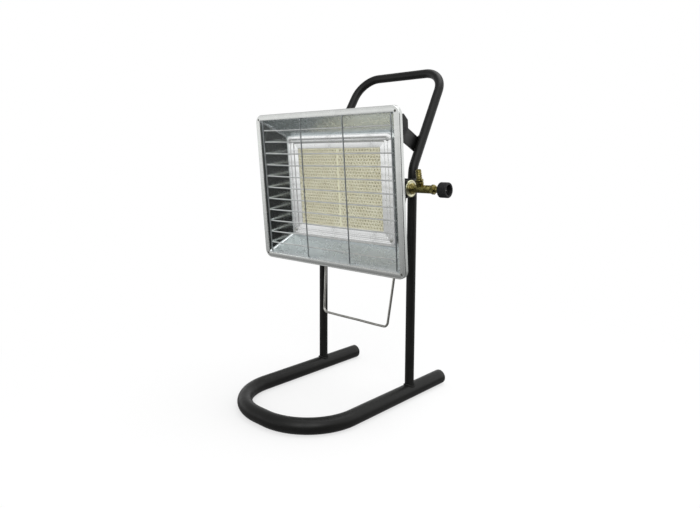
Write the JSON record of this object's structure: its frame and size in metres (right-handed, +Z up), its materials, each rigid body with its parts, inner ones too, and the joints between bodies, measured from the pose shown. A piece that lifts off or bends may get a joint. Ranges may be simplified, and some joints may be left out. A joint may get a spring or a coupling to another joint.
{
  "type": "portable propane heater",
  "caption": "Infrared gas heater head with folded reflector and wire guard, tilting between the posts of a bent-tube floor stand with a carrying handle.",
  "frame": {"origin": "on the floor, midway between the axes of the two posts", "axes": "+X to the right as one faces the heater, -Y to its front, +Z up"},
  "size_m": [0.35, 0.3511, 0.5516],
  "materials": {
    "black_paint": "satin black powder coat",
    "black_plastic": "matt moulded plastic",
    "galvanised_sheet": "bright spangled zinc coat",
    "pressed_sheet": "bright aluminised steel",
    "guard_wire": "zinc plated wire",
    "bail_wire": "zinc plated wire",
    "ceramic": "matt fired ceramic",
    "fibre": "soft ceramic fibre",
    "brass": "turned brass",
    "zinc": "yellow zinc plate",
    "friction_pad": "moulded fibre"
  },
  "bodies": {
    "stand": {"base_tube": "black_paint", "end_cap_left": "black_plastic", "end_cap_right": "black_plastic", "post_handle_tube": "black_paint", "strap_arm_left": "black_paint", "strap_arm_right": "black_paint"},
    "head": {"rim_frame": "galvanised_sheet", "reflector_top": "galvanised_sheet", "reflector_bottom": "galvanised_sheet", "reflector_left": "galvanised_sheet", "reflector_right": "galvanised_sheet", "guard_grille": "guard_wire", "burner_frame": "pressed_sheet", "frame_screws": "zinc", "plaque_left": "ceramic", "plaque_right": "ceramic", "plaque_seam_strip": "fibre", "plaque_gasket": "fibre", "burner_housing": "pressed_sheet", "mixing_tube": "pressed_sheet", "valve_carrier": "black_paint", "injector": "brass", "valve_washer": "zinc", "valve_body": "brass", "inlet_hose_tail": "brass", "gland_nut": "brass", "tilt_bracket_left": "black_paint", "tilt_bracket_right": "black_paint", "rear_screws": "zinc", "pivot_bolt_left": "zinc", "pivot_bolt_right": "zinc", "friction_washer_left": "friction_pad", "friction_washer_right": "friction_pad", "pivot_washer_left": "zinc", "pivot_washer_right": "zinc", "pivot_nut_left": "zinc", "pivot_nut_right": "zinc"},
    "knob": {"valve_spindle": "brass", "valve_knob": "black_plastic", "knob_screw": "zinc"},
    "bail": {"wire_bail": "bail_wire"}
  },
  "joints": [
    {"name": "head_tilt", "type": "hinge", "parent": "stand", "child": "head", "pos_m": [0, -0.02408, 0.44116], "axis": [1, 0, 0], "range_deg": [-40, 2]},
    {"name": "valve_turn", "type": "hinge", "parent": "head", "child": "knob", "pos_m": [0.18, -0.03824, 0.35058], "axis": [1, 0, 0], "range_deg": [0, 270]},
    {"name": "bail_swing", "type": "hinge", "parent": "stand", "child": "bail", "pos_m": [0, 0, 0.345], "axis": [1, 0, 0], "range_deg": [-2, 90]}
  ]
}
